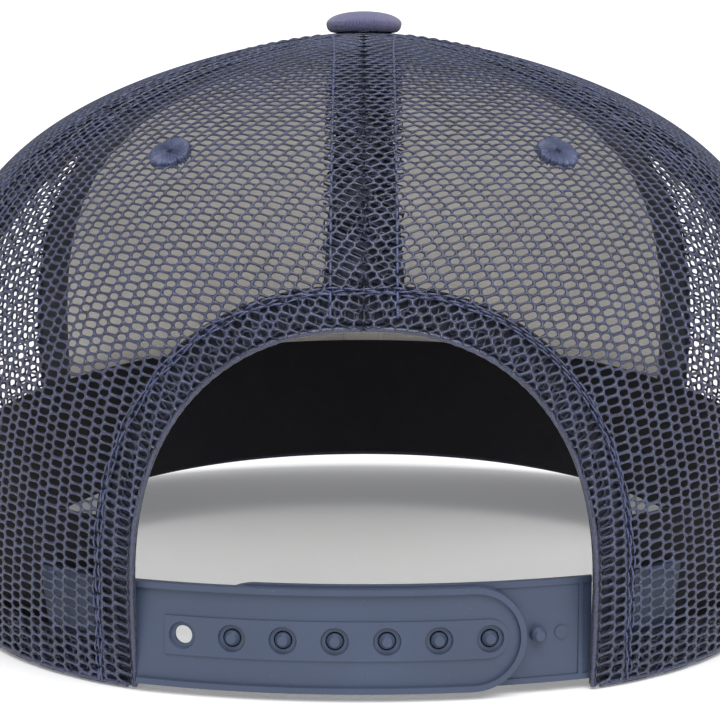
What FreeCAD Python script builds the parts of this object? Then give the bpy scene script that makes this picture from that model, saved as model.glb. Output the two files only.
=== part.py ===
import FreeCAD, Part
import math
import os

from FreeCAD import Vector

# Six-panel trucker cap with a curved visor and a snap strap, in millimetres.
# +Z is up, the visor points along -Y and the strap is at +Y. The origin lies on
# the plane that the rim stands on, under the middle of the crown.
# Angles round the crown are in degrees from the rear (+Y), positive towards +X,
# which is the wearer's left. Heights up the crown are lengths along the cloth.

# ---- Crown form ----
crown_height = 124.8
crown_half_width = 87.0
crown_rear_depth = 90.7
crown_front_depth = 93.4
plan_roundness = 2.165          # exponent of the superellipse seen from above
front_rim_rise = 15.3           # the front rim stands above the rear rim
shoulder_fullness = 0.065
rear_profile = (1.51, 4.42)     # exponents across and up the rear meridian
side_profile = (1.46, 5.89)
front_profile = (1.80, 5.15)
apex_gap = 4.5                  # panels stop short of the apex, under the button

# ---- Seams between the six panels ----
# fraction of the way up the cloth, and the seam's angle there
rear_side_seam = [(0.0, 63.5), (0.36, 62.5), (0.76, 54.0), (1.0, 56.0)]
front_side_seam_angle = 124.6
front_angle = 180.0

# ---- Layers, as distances inwards from the outside of the crown ----
panel_thickness = 1.0
stiffener_layer = (1.05, 1.65)
rear_tape_layer = (1.10, 1.80)
front_tape_layer = (1.75, 2.45)
binding_layer = (1.10, 1.90)
foam_layer = (2.60, 4.00)
sweatband_thickness = 1.0
sweatband_inset_side = 2.60
sweatband_inset_front = 4.15
sweatband_inset_rear = 5.60

tape_width = 15.0
tape_half_angle_limit = 21.0    # keeps the tapes apart where they meet at the apex
front_tape_width = 11.0
rear_centre_tape_foot = 60.0
rear_side_tape_foot = 1.0
front_tape_foot = 1.5
tape_binding_gap = 0.2          # between the centre tape and the binding round the arch
stiffener_foot = 1.5
stiffener_margin = 6.0          # between the stiffener's top and the panel's top
stiffener_side_gap = 0.6        # degrees short of the side seam
stiffener_middle_gap = 0.3      # degrees short of the middle of the front

# ---- Rear arch opening ----
arch_half_width = 43.0
arch_spring_height = 18.0
arch_rise = 50.8
arch_roundness = 2.3
binding_width = 8.0
binding_foot = 0.6
binding_half_angle = 37.0       # the layer that the binding is cut from
binding_spare = 9.0
arch_rear_reach = 130.0
arch_front_reach = 25.0
arch_block_foot = -10.0

# ---- Sweatband and its foam ----
sweatband_bottom = 0.8
sweatband_height = 33.0
sweatband_end_angle = 31.0
sweatband_off_tabs = (45.0, 62.0)       # angles over which the band changes its inset
sweatband_onto_foam = (110.0, 127.0)
foam_bottom = 3.0
foam_height = 26.0
foam_end_angle = 128.0

# ---- Eyelets ----
eyelet_radius = 4.0
eyelet_hole_radius = 0.7
eyelet_proud = 0.6
eyelet_depth = 1.9
eyelet_rounding = 0.45
eyelet_stiffener_gap = 0.1
rear_eyelet = (30.5, 0.580)     # angle, fraction up the cloth
front_eyelet = (151.8, 0.538)

# ---- Button ----
button_radius = 8.3
button_rise = 4.35
button_wall = 0.9               # upright wall under the dome
button_cover_thickness = 0.8
button_shell_thickness = 0.5
button_shell_gap = 0.05
button_seat = -0.1              # the rim stands a little below the apex
rivet_radius = 1.2
rivet_head_radius = 2.4
rivet_head_height = 0.6
rivet_head_gap = 1.6            # from the foot of the head up to the shell
rivet_upset_height = 0.4
rivet_upset_radii = (1.44, 2.16)
rivet_plate_gap = 0.05
back_plate_radius = 6.0
back_plate_thickness = 0.8
back_plate_drop = 3.9

# ---- Visor ----
visor_root_angle = 119.0
visor_root_gap = 0.35
visor_root_lift = 2.1
visor_root_reach = 4.0          # the root clears the crown's wall up to this length
visor_board_half = 0.8
visor_cover_layer = (0.85, 1.75)
visor_board_reach = 0.955
visor_board_span = 0.965
visor_seam_start = 0.962
# outer edge from the left end of the visor to its middle, mirrored for the rest
visor_edge = [(80.5, -51.0, 7.4), (89.5, -72.0, 3.9), (90.0, -98.0, 2.4), (80.5, -126.0, 3.2),
              (59.0, -147.5, 6.7), (31.0, -158.5, 10.0), (0.0, -162.0, 11.4)]

# ---- Snap strap ----
strap_bend_radius = 118.0       # outer face of the holed strap, seen from above
strap_thickness = 1.2
strap_layer_gap = 0.4
strap_height = 19.4
strap_bottom = 1.6
pegged_strap_lift = 0.35
strap_weld = 0.3                # raised parts reach this far into the strap
strap_sweep = 60.0              # degrees of the blank that each strap is cut from
strap_block_near = 60.0         # block behind the cap that carries a strap's outline
strap_block_depth = 90.0
strap_root_spare = 5.0
strap_root_guess = 28.0         # angle from which the strap's root is searched
strap_root_shift = 0.3          # the strap's face stands this far out from its tab
strap_rim_width = 1.1
strap_rim_rise = 0.8
strap_band_rise = 0.3
strap_band_half_height = 3.65
strap_band_start = 36.8
strap_band_end = -26.5
snap_pitch = 9.525
snap_count = 7
first_hole = 33.9               # along the strap from its middle
snap_hole_radius = 1.75
snap_ring_radius = 2.6          # recess round each hole
snap_ring_foot_radius = 2.4
snap_ring_depth = 0.4
peg_radius = 1.46
peg_tip_radius = 0.9
peg_chamfer_height = 0.9
peg_height = 2.3
peg_root = 0.5
strap_root_x = 42.4
tab_gap = 0.6
strap_hinge_gap = 0.2           # the straps bend this far beyond their roots
tab_end_angle = 42.0
holed_tab_inset = 2.2
holed_strap_end = -29.9
pegged_strap_end = 29.6
pegged_rim_rise = 0.3
pegged_rib_x = -40.3            # upright rib beside the root
pegged_rib_width = 0.8
mark_radius = 1.25
mark_rise = 0.25
mark_from_last_peg = 4.9

meridian_steps = 240
meridian_cache = {}
normal_reach = 1.5              # steps over which the crown's slope is measured
normal_turn = 1.0
visor_normal_step = 0.01
sewing_tolerance = 1e-4
cut_spare = 1.0                 # cutting tools run this far past the piece they cut


# ---- Crown surface ----

def round_crown(angle, rear, side, front):
    """Blend a rear, side and front value round the crown."""
    c = math.cos(math.radians(angle))
    rear_weight = max(c, 0.0) ** 2
    front_weight = max(-c, 0.0) ** 2
    return rear * rear_weight + front * front_weight + side * (1.0 - rear_weight - front_weight)


def rim_height(angle):
    return front_rim_rise * ((1.0 - math.cos(math.radians(angle))) / 2.0) ** 2


def plan_radius(angle):
    s = abs(math.sin(math.radians(angle)))
    c = math.cos(math.radians(angle))
    depth = crown_rear_depth if c > 0 else crown_front_depth
    across = (s / crown_half_width) ** plan_roundness
    along = (abs(c) / depth) ** plan_roundness
    return (across + along) ** (-1.0 / plan_roundness)


def meridian(angle):
    """Lengths, radii and heights along the crown's outline at one angle."""
    key = round(angle, 6)
    if key in meridian_cache:
        return meridian_cache[key]
    across = round_crown(angle, rear_profile[0], side_profile[0], front_profile[0])
    up = round_crown(angle, rear_profile[1], side_profile[1], front_profile[1])
    reach = plan_radius(angle)
    foot = rim_height(angle)
    lengths = [0.0]
    radii = []
    heights = []
    for step in range(meridian_steps + 1):
        turn = math.pi / 2.0 * step / meridian_steps
        rise = math.sin(turn) ** (2.0 / up)
        shrink = max(math.cos(turn), 0.0) ** (2.0 / across)
        swell = 1.0 + 4.0 * shoulder_fullness * rise * (1.0 - rise)
        radii.append(reach * shrink * swell)
        heights.append(foot + (crown_height - foot) * rise)
        if step:
            lengths.append(lengths[-1] + math.hypot(radii[-1] - radii[-2], heights[-1] - heights[-2]))
    meridian_cache[key] = (lengths, radii, heights)
    return meridian_cache[key]


def cloth_length(angle):
    return meridian(angle)[0][-1]


def crown_skin(angle, length):
    """Point on the outside of the crown, a length of cloth above the rim."""
    lengths, radii, heights = meridian(angle)
    low, high = 0, len(lengths) - 1
    while high - low > 1:
        middle = (low + high) // 2
        if lengths[middle] > length:
            high = middle
        else:
            low = middle
    part = (length - lengths[low]) / (lengths[high] - lengths[low])
    radius = radii[low] + part * (radii[high] - radii[low])
    height = heights[low] + part * (heights[high] - heights[low])
    a = math.radians(angle)
    return Vector(radius * math.sin(a), radius * math.cos(a), height)


def crown_normal(angle, length):
    longest = cloth_length(angle)
    low = min(max(length - normal_reach, 0.0), longest - 2.0 * normal_reach)
    up = crown_skin(angle, low + 2.0 * normal_reach) - crown_skin(angle, low)
    along = crown_skin(angle + normal_turn, length) - crown_skin(angle - normal_turn, length)
    normal = up.cross(along)
    normal.normalize()
    flat = Vector(math.sin(math.radians(angle)), math.cos(math.radians(angle)), 0.4)
    return normal if normal.dot(flat) > 0 else normal * -1.0


def crown_point(angle, length, inset):
    return crown_skin(angle, length) - crown_normal(angle, length) * inset


def seam_angle(points, fraction):
    """Angle of a seam, eased between its points."""
    for (low, low_angle), (high, high_angle) in zip(points, points[1:]):
        if fraction <= high:
            part = (fraction - low) / (high - low)
            ease = part * part * (3.0 - 2.0 * part)
            return low_angle + ease * (high_angle - low_angle)
    return points[-1][1]


# ---- Solids from grids of points ----

def grid_surface(points):
    surface = Part.BSplineSurface()
    surface.interpolate(points)
    return surface


def slab(outer_points, inner_points):
    """Closed solid between two grids of points of the same size."""
    outer = grid_surface(outer_points)
    inner = grid_surface(inner_points)
    faces = [outer.toShape(), inner.toShape()]
    u0, u1, v0, v1 = outer.bounds()
    p0, p1, q0, q1 = inner.bounds()
    pairs = [(outer.uIso(u0), inner.uIso(p0)), (outer.uIso(u1), inner.uIso(p1)),
             (outer.vIso(v0), inner.vIso(q0)), (outer.vIso(v1), inner.vIso(q1))]
    for one, other in pairs:
        faces.append(Part.makeRuledSurface(one.toShape(), other.toShape()))
    shell = Part.makeShell(faces)
    shell.sewShape(sewing_tolerance)
    solid = Part.Solid(Part.Shell(shell.Faces))
    if solid.Volume < 0:
        solid.reverse()
    return solid


def steps(count):
    return [i / (count - 1.0) for i in range(count)]


def crown_slab(angle_at, length_at, outer_inset, inner_inset, across=9, up=15):
    """Crown layer whose angle and cloth length are functions of two fractions."""
    grids = []
    for inset in (outer_inset, inner_inset):
        grid = []
        for a in steps(across):
            row = []
            for t in steps(up):
                angle = angle_at(a, t)
                depth = inset(angle) if callable(inset) else inset
                row.append(crown_point(angle, length_at(angle, t), depth))
            grid.append(row)
        grids.append(grid)
    return slab(grids[0], grids[1])


def mirrored(shape):
    return shape.mirror(Vector(0, 0, 0), Vector(1, 0, 0))


# ---- Crown panels ----

def rear_side_angle(fraction):
    return seam_angle(rear_side_seam, fraction)


def front_side_angle(fraction):
    return front_side_seam_angle


def rear_middle(fraction):
    return 0.0


def front_middle(fraction):
    return front_angle


def between(start, end):
    """Angle at a fraction a of the way from one seam to another."""
    def angle_at(a, t):
        return start(t) + a * (end(t) - start(t))

    return angle_at


def to_apex(angle, t):
    return t * (cloth_length(angle) - apex_gap)


def arch_prism(grow):
    """Arch-shaped block through the rear wall, larger than the opening by grow."""
    half = arch_half_width + grow
    rise = arch_rise + grow
    power = 2.0 / arch_roundness
    curve_points = []
    for part in steps(15):
        turn = math.pi * part
        c = math.cos(turn)
        x = math.copysign(half * abs(c) ** power, c)
        z = arch_spring_height + rise * max(math.sin(turn), 0.0) ** power
        curve_points.append(Vector(x, arch_front_reach, z))
    crest = Part.BSplineCurve()
    crest.interpolate(curve_points)
    left_foot = Vector(-half, arch_front_reach, arch_block_foot)
    right_foot = Vector(half, arch_front_reach, arch_block_foot)
    wire = Part.Wire([crest.toShape(),
                      Part.LineSegment(curve_points[-1], left_foot).toShape(),
                      Part.LineSegment(left_foot, right_foot).toShape(),
                      Part.LineSegment(right_foot, curve_points[0]).toShape()])
    return Part.Face(wire).extrude(Vector(0, arch_rear_reach - arch_front_reach, 0))


def eyelet_frame(place):
    angle, fraction = place
    length = fraction * cloth_length(angle)
    return crown_skin(angle, length), crown_normal(angle, length)


def eyelet_plug(place, radius):
    """Round rod through the cloth at an eyelet."""
    centre, normal = eyelet_frame(place)
    start = centre - normal * eyelet_depth
    return Part.makeCylinder(radius, eyelet_depth + eyelet_proud, start, normal)


def rear_panel():
    panel = crown_slab(between(rear_middle, rear_side_angle), to_apex, 0.0, panel_thickness)
    panel = panel.cut(arch_prism(0.0))
    return panel.cut(eyelet_plug(rear_eyelet, eyelet_radius))


def side_panel():
    return crown_slab(between(rear_side_angle, front_side_angle), to_apex, 0.0, panel_thickness)


def front_panel():
    panel = crown_slab(between(front_side_angle, front_middle), to_apex, 0.0, panel_thickness)
    return panel.cut(eyelet_plug(front_eyelet, eyelet_radius))


def front_stiffener():
    """Buckram that backs one front panel."""
    start_angle = front_side_seam_angle + stiffener_side_gap
    end_angle = front_angle - stiffener_middle_gap

    def angle_at(a, t):
        return start_angle + a * (end_angle - start_angle)

    def length_at(angle, t):
        return stiffener_foot + t * (cloth_length(angle) - apex_gap - stiffener_margin - stiffener_foot)

    backing = crown_slab(angle_at, length_at, stiffener_layer[0], stiffener_layer[1])
    return backing.cut(eyelet_plug(front_eyelet, eyelet_radius + eyelet_stiffener_gap))


# ---- Seam tapes ----

def seam_tape(centre_at, width, layer, foot):
    """Tape of even width along a seam."""
    def half_angle(angle, length):
        point = crown_skin(angle, length)
        radius = max(math.hypot(point.x, point.y), 1.0)
        return min(math.degrees(width / 2.0 / radius), tape_half_angle_limit)

    def length_at(angle, t):
        return foot + t * (cloth_length(angle) - apex_gap - foot)

    def angle_at(a, t):
        centre = centre_at(t)
        spread = half_angle(centre, length_at(centre, t))
        return centre + (2.0 * a - 1.0) * spread

    return crown_slab(angle_at, length_at, layer[0], layer[1], across=5, up=17)


def rear_centre_tape():
    tape = seam_tape(rear_middle, tape_width, rear_tape_layer, rear_centre_tape_foot)
    return tape.cut(arch_prism(binding_width + tape_binding_gap))


def rear_side_tape():
    return seam_tape(rear_side_angle, tape_width, rear_tape_layer, rear_side_tape_foot)


def front_side_tape():
    return seam_tape(front_side_angle, front_tape_width, front_tape_layer, front_tape_foot)


def front_centre_tape():
    return seam_tape(front_middle, front_tape_width, front_tape_layer, front_tape_foot)


def arch_binding():
    """Folded mesh strip that faces the edge of the rear opening."""
    tallest = arch_spring_height + arch_rise + binding_width + binding_spare

    def angle_at(a, t):
        return binding_half_angle * (2.0 * a - 1.0)

    def length_at(angle, t):
        return binding_foot + t * (tallest - binding_foot)

    layer = crown_slab(angle_at, length_at, binding_layer[0], binding_layer[1], across=15, up=13)
    return layer.common(arch_prism(binding_width)).cut(arch_prism(0.0))


# ---- Sweatband ----

def ease(value, start, end):
    part = min(max((value - start) / (end - start), 0.0), 1.0)
    return part * part * (3.0 - 2.0 * part)


def sweatband_inset(angle):
    """The band stands off the crown over the strap ends and over the foam."""
    turn = abs(angle if angle <= 180.0 else 360.0 - angle)
    over_tabs = 1.0 - ease(turn, *sweatband_off_tabs)
    over_foam = ease(turn, *sweatband_onto_foam)
    inset = sweatband_inset_side
    inset += over_tabs * (sweatband_inset_rear - sweatband_inset_side)
    return inset + over_foam * (sweatband_inset_front - sweatband_inset_side)


def sweatband():
    def angle_at(a, t):
        return sweatband_end_angle + a * (360.0 - 2.0 * sweatband_end_angle)

    def length_at(angle, t):
        return sweatband_bottom + t * sweatband_height

    def inner(angle):
        return sweatband_inset(angle) + sweatband_thickness

    return crown_slab(angle_at, length_at, sweatband_inset, inner, across=49, up=5)


def sweatband_foam():
    def angle_at(a, t):
        return foam_end_angle + a * (360.0 - 2.0 * foam_end_angle)

    def length_at(angle, t):
        return foam_bottom + t * foam_height

    return crown_slab(angle_at, length_at, foam_layer[0], foam_layer[1], across=17, up=5)


# ---- Eyelets ----

def eyelet(place):
    """Embroidered ring with a rounded outer edge."""
    ring = eyelet_plug(place, eyelet_radius).cut(eyelet_plug(place, eyelet_hole_radius))
    centre, normal = eyelet_frame(place)
    top = (centre + normal * eyelet_proud).dot(normal)
    top_edges = [edge for edge in ring.Edges
                 if math.isclose(edge.CenterOfMass.dot(normal), top, abs_tol=0.01)]
    outer_edge = max(top_edges, key=lambda edge: edge.Length)
    return ring.makeFillet(eyelet_rounding, [outer_edge])


# ---- Button ----

def dome(radius, rise, foot_z, floor_z):
    """Solid of revolution: a short wall under an elliptical cap."""
    points = [Vector(radius * math.cos(t), 0, foot_z + rise * math.sin(t))
              for t in [math.pi / 2.0 * s for s in steps(9)]]
    points[-1] = Vector(0, 0, foot_z + rise)
    cap = Part.BSplineCurve()
    cap.interpolate(points)
    low_out = Vector(radius, 0, floor_z)
    low_in = Vector(0, 0, floor_z)
    wire = Part.Wire([Part.LineSegment(low_in, low_out).toShape(),
                      Part.LineSegment(low_out, points[0]).toShape(),
                      cap.toShape(),
                      Part.LineSegment(points[-1], low_in).toShape()])
    return Part.Face(wire).revolve(Vector(0, 0, 0), Vector(0, 0, 1), 360)


button_floor = crown_height + button_seat
button_foot = button_floor + button_wall


def button_dome(inset, floor_z):
    return dome(button_radius - inset, button_rise - button_wall - inset, button_foot, floor_z)


def button_cover():
    hollow = button_dome(button_cover_thickness, button_floor - cut_spare)
    return button_dome(0.0, button_floor).cut(hollow)


def button_shell():
    inset = button_cover_thickness + button_shell_gap
    hollow = button_dome(inset + button_shell_thickness, button_floor - cut_spare)
    return button_dome(inset, button_floor).cut(hollow)


def button_rivet():
    """Post of the button, from the shell down to the back plate, with a formed head."""
    top = button_floor + button_rise - button_cover_thickness - button_shell_thickness - rivet_head_gap
    bottom = crown_height - back_plate_drop - rivet_upset_height
    post = Part.makeCylinder(rivet_radius, top - bottom, Vector(0, 0, bottom))
    head = Part.makeCylinder(rivet_head_radius, rivet_head_height, Vector(0, 0, top))
    upset = Part.makeCone(*rivet_upset_radii, rivet_upset_height, Vector(0, 0, bottom))
    return post.fuse(head).fuse(upset)


def button_back_plate():
    floor = crown_height - back_plate_drop
    plate = Part.makeCylinder(back_plate_radius, back_plate_thickness, Vector(0, 0, floor))
    hole_height = back_plate_thickness + 2.0 * cut_spare
    hole_foot = Vector(0, 0, floor - cut_spare)
    return plate.cut(Part.makeCylinder(rivet_radius + rivet_plate_gap, hole_height, hole_foot))


# ---- Visor ----

def visor_edge_curve():
    right = [Vector(-x, y, z) for x, y, z in reversed(visor_edge[:-1])]
    left = [Vector(x, y, z) for x, y, z in visor_edge]
    curve = Part.BSplineCurve()
    curve.interpolate(left + right)
    return curve


edge_curve = visor_edge_curve()


def visor_middle(a, b):
    """Point midway through the visor: a runs across from +X, b from root to edge."""
    angle = visor_root_angle + a * (360.0 - 2.0 * visor_root_angle)
    wall = crown_point(angle, visor_root_reach, -visor_root_gap)
    root = Vector(wall.x, wall.y, rim_height(angle) + visor_root_lift)
    first, last = edge_curve.FirstParameter, edge_curve.LastParameter
    outer = edge_curve.value(first + a * (last - first))
    return root + (outer - root) * b


def visor_normal(a, b):
    step = visor_normal_step
    across = visor_middle(min(a + step, 1.0), b) - visor_middle(max(a - step, 0.0), b)
    out = visor_middle(a, min(b + step, 1.0)) - visor_middle(a, max(b - step, 0.0))
    normal = across.cross(out)
    normal.normalize()
    return normal if normal.z > 0 else normal * -1.0


def visor_slab(a_range, b_range, low, high, across=25, out=7):
    grids = []
    for offset in (high, low):
        grid = []
        for s in steps(across):
            a = a_range[0] + s * (a_range[1] - a_range[0])
            row = []
            for t in steps(out):
                b = b_range[0] + t * (b_range[1] - b_range[0])
                row.append(visor_middle(a, b) + visor_normal(a, b) * offset)
            grid.append(row)
        grids.append(grid)
    return slab(grids[0], grids[1])


whole_span = (0.0, 1.0)
board_span = (1.0 - visor_board_span, visor_board_span)


def visor_top_cover():
    return visor_slab(whole_span, whole_span, visor_cover_layer[0], visor_cover_layer[1])


def visor_under_cover():
    return visor_slab(whole_span, whole_span, -visor_cover_layer[1], -visor_cover_layer[0])


def visor_board():
    return visor_slab(board_span, (0.0, visor_board_reach), -visor_board_half, visor_board_half)


def visor_edge_seam():
    """Turned-in edges of the two covers, beyond the board."""
    return visor_slab(board_span, (visor_seam_start, 1.0), -visor_board_half, visor_board_half, out=4)


# ---- Snap strap ----

def angle_for_x(angle_guess, x, length, inset):
    """Angle at which a crown layer reaches a given x."""
    low, high = angle_guess - 15.0, angle_guess + 15.0
    for _ in range(40):
        middle = (low + high) / 2.0
        if crown_point(middle, length, inset).x < x:
            low = middle
        else:
            high = middle
    return (low + high) / 2.0


strap_middle_z = strap_bottom + strap_height / 2.0
tab_start_angle = angle_for_x(strap_root_guess, strap_root_x + tab_gap, strap_middle_z, holed_tab_inset)
strap_root_y = crown_point(tab_start_angle, strap_middle_z, holed_tab_inset).y + strap_root_shift
strap_centre_y = strap_root_y - math.sqrt(strap_bend_radius ** 2 - strap_root_x ** 2)
strap_axis = Vector(0, strap_centre_y, 0)
pegged_outer_radius = strap_bend_radius - strap_thickness - strap_layer_gap
pegged_tab_inset = holed_tab_inset + strap_thickness + strap_layer_gap


def bent_band(inner_radius, outer_radius, low, high):
    """Upright band bent about the strap's axis, wider than any strap."""
    up = Vector(0, 0, 1)
    band = Part.makeCylinder(outer_radius, high - low, strap_axis + up * low, up, strap_sweep)
    hollow_foot = strap_axis + up * (low - cut_spare)
    hollow = Part.makeCylinder(inner_radius, high - low + 2.0 * cut_spare, hollow_foot)
    band = band.cut(hollow)
    band.rotate(strap_axis, up, 90.0 - strap_sweep / 2.0)
    return band


def strap_outline(root_x, end_x, low, high, inset):
    """Block seen from behind as a strap with a round free end."""
    low += inset
    high -= inset
    side = 1.0 if root_x > end_x else -1.0
    end_x += side * inset
    y = strap_centre_y + strap_block_near
    half = (high - low) / 2.0
    turn_x = end_x + side * half
    a = Vector(turn_x, y, high)
    b = Vector(end_x, y, low + half)
    c = Vector(turn_x, y, low)
    d = Vector(root_x, y, low)
    e = Vector(root_x, y, high)
    edges = [Part.Arc(a, b, c).toShape(), Part.LineSegment(c, d).toShape(), Part.LineSegment(d, e).toShape(),
             Part.LineSegment(e, a).toShape()]
    return Part.Face(Part.Wire(edges)).extrude(Vector(0, strap_block_depth, 0))


def snap_rod(along, z, start_radius, height, base, tip):
    """Rod or cone square to the strap, at a length along it."""
    turn = along / strap_bend_radius
    outward = Vector(math.sin(turn), math.cos(turn), 0)
    start = strap_axis + Vector(0, 0, z) + outward * start_radius
    if abs(base - tip) < 1e-6:
        return Part.makeCylinder(base, height, start, outward)
    return Part.makeCone(base, tip, height, start, outward)


def snap_places(first, count):
    return [first - i * snap_pitch for i in range(count)]


def holed_strap():
    low, high = strap_bottom, strap_bottom + strap_height
    face = strap_bend_radius
    shape = strap_outline(strap_root_x, holed_strap_end, low, high, 0.0)
    strap = bent_band(face - strap_thickness, face, low, high).common(shape)
    rim = bent_band(face - strap_weld, face + strap_rim_rise, low, high).common(shape)
    recess = strap_outline(strap_root_x + strap_root_spare, holed_strap_end, low, high, strap_rim_width)
    band_low = strap_middle_z - strap_band_half_height
    band_high = strap_middle_z + strap_band_half_height
    band = bent_band(face - strap_weld, face + strap_band_rise, band_low, band_high)
    band = band.common(strap_outline(strap_band_start, strap_band_end, band_low, band_high, 0.0))
    strap = strap.fuse(rim.cut(recess)).fuse(band)
    for along in snap_places(first_hole, snap_count):
        hole_start = face - strap_thickness - cut_spare
        hole_depth = strap_thickness + strap_rim_rise + 2.0 * cut_spare
        hole = snap_rod(along, strap_middle_z, hole_start, hole_depth, snap_hole_radius, snap_hole_radius)
        sink = snap_rod(along, strap_middle_z, face - snap_ring_depth, snap_ring_depth + strap_band_rise,
                        snap_ring_foot_radius, snap_ring_radius)
        strap = strap.cut(hole).cut(sink)
    return strap.removeSplitter()


def snap_peg(along, face):
    """Post with a chamfered flat tip."""
    post_height = peg_height - peg_chamfer_height
    post = snap_rod(along, strap_middle_z, face - peg_root, post_height + peg_root, peg_radius, peg_radius)
    tip = snap_rod(along, strap_middle_z, face + post_height, peg_chamfer_height, peg_radius, peg_tip_radius)
    return post.fuse(tip)


def pegged_strap():
    low = strap_bottom + pegged_strap_lift
    high = low + strap_height
    face = pegged_outer_radius
    shape = strap_outline(-strap_root_x, pegged_strap_end, low, high, 0.0)
    strap = bent_band(face - strap_thickness, face, low, high).common(shape)
    rim = bent_band(face - strap_weld, face + pegged_rim_rise, low, high).common(shape)
    recess = strap_outline(-strap_root_x - strap_root_spare, pegged_strap_end, low, high, strap_rim_width)
    rib_half = pegged_rib_width / 2.0
    rib_corner = Vector(pegged_rib_x - rib_half, strap_centre_y + strap_block_near, low)
    rib = Part.makeBox(pegged_rib_width, strap_block_depth, strap_height, rib_corner)
    strap = strap.fuse(rim.cut(recess.cut(rib)))
    places = snap_places(first_hole - snap_pitch, snap_count)
    for along in places:
        strap = strap.fuse(snap_peg(along, face))
    mark = snap_rod(places[-1] - mark_from_last_peg, strap_middle_z, face - peg_root, mark_rise + peg_root,
                    mark_radius, mark_radius)
    return strap.fuse(mark).removeSplitter()


def strap_tab(inset, low):
    """Sewn end of a strap, which lies between the rear mesh and the sweatband."""
    root_x = strap_root_x + tab_gap
    start_angle = angle_for_x(strap_root_guess, root_x, strap_middle_z, inset + strap_thickness)

    def angle_at(a, t):
        return start_angle + a * (tab_end_angle - start_angle)

    def length_at(angle, t):
        return low + t * strap_height

    return crown_slab(angle_at, length_at, inset, inset + strap_thickness, across=5, up=5)


# ---- Pieces ----

def build():
    pieces = {}
    for name, make in (("rear_mesh", rear_panel), ("side_mesh", side_panel), ("front_panel", front_panel),
                       ("front_stiffener", front_stiffener), ("rear_side_tape", rear_side_tape),
                       ("front_side_tape", front_side_tape)):
        shape = make()
        pieces[name + "_left"] = shape
        pieces[name + "_right"] = mirrored(shape)
    for name, place in (("rear_eyelet", rear_eyelet), ("front_eyelet", front_eyelet)):
        shape = eyelet(place)
        pieces[name + "_left"] = shape
        pieces[name + "_right"] = mirrored(shape)
    pieces["rear_centre_tape"] = rear_centre_tape()
    pieces["front_centre_tape"] = front_centre_tape()
    pieces["arch_binding"] = arch_binding()
    pieces["sweatband"] = sweatband()
    pieces["sweatband_foam"] = sweatband_foam()
    pieces["button_cover"] = button_cover()
    pieces["button_shell"] = button_shell()
    pieces["button_rivet"] = button_rivet()
    pieces["button_back_plate"] = button_back_plate()
    pieces["visor_top_cover"] = visor_top_cover()
    pieces["visor_under_cover"] = visor_under_cover()
    pieces["visor_board"] = visor_board()
    pieces["visor_edge_seam"] = visor_edge_seam()
    pieces["holed_strap"] = holed_strap()
    pieces["pegged_strap"] = pegged_strap()
    pieces["holed_strap_tab"] = strap_tab(holed_tab_inset, strap_bottom)
    pieces["pegged_strap_tab"] = mirrored(strap_tab(pegged_tab_inset, strap_bottom + pegged_strap_lift))
    return pieces


os.makedirs("parts", exist_ok=True)
for node, solid in build().items():
    solid.exportStep("parts/" + node + ".step")
    box = solid.BoundBox
    print("%-22s solids %d closed %s valid %s volume %8.0f  x %.1f %.1f  y %.1f %.1f  z %.2f %.2f" % (
        node, len(solid.Solids), solid.isClosed(), solid.isValid(), solid.Volume,
        box.XMin, box.XMax, box.YMin, box.YMax, box.ZMin, box.ZMax))

hinge_radius = strap_bend_radius + strap_rim_rise
hinge_x = strap_root_x + strap_hinge_gap
print("holed strap hinge", hinge_x, strap_centre_y + math.sqrt(hinge_radius ** 2 - hinge_x ** 2))
hinge_radius = pegged_outer_radius - strap_thickness
print("pegged strap hinge", -hinge_x, strap_centre_y + math.sqrt(hinge_radius ** 2 - hinge_x ** 2))
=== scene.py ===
import math

import bpy
import numpy as np
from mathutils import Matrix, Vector


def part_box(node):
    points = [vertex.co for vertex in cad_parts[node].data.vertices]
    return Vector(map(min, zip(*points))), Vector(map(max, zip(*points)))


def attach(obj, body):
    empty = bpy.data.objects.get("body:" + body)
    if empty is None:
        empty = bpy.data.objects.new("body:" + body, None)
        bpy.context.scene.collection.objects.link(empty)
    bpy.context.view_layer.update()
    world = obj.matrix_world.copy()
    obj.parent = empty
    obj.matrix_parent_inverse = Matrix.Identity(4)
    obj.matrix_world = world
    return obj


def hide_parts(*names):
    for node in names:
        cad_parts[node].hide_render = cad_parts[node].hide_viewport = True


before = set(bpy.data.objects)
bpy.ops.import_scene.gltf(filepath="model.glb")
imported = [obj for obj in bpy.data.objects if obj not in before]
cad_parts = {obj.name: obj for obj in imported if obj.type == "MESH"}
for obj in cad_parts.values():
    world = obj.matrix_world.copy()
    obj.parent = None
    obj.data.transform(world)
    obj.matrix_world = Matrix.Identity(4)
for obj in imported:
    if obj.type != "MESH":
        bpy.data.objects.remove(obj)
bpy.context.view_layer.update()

# Trucker mesh cap. Lengths below are in millimetres and become metres in make_mesh().
# Angles round the crown are in degrees from the rear (+Y), positive towards +X.
# Heights up the crown are lengths along the cloth from the rim.
MM = 0.001

# ---- Crown form, the same as the CAD crown ----
CROWN_HEIGHT = 124.8
HALF_WIDTH = 87.0
REAR_DEPTH = 90.7
FRONT_DEPTH = 93.4
PLAN_ROUNDNESS = 2.165
RIM_RISE = 15.3
SHOULDER = 0.065
REAR_PROFILE = (1.51, 4.42)
SIDE_PROFILE = (1.46, 5.89)
FRONT_PROFILE = (1.80, 5.15)
APEX_GAP = 4.5

REAR_SIDE_SEAM = ((0.0, 63.5), (0.36, 62.5), (0.76, 54.0), (1.0, 56.0))
FRONT_SIDE_SEAM = 124.6
SEAM_LENGTH = 185.0             # fractions along a seam count this length as 1
SIDES = (("left", False), ("right", True))

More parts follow.
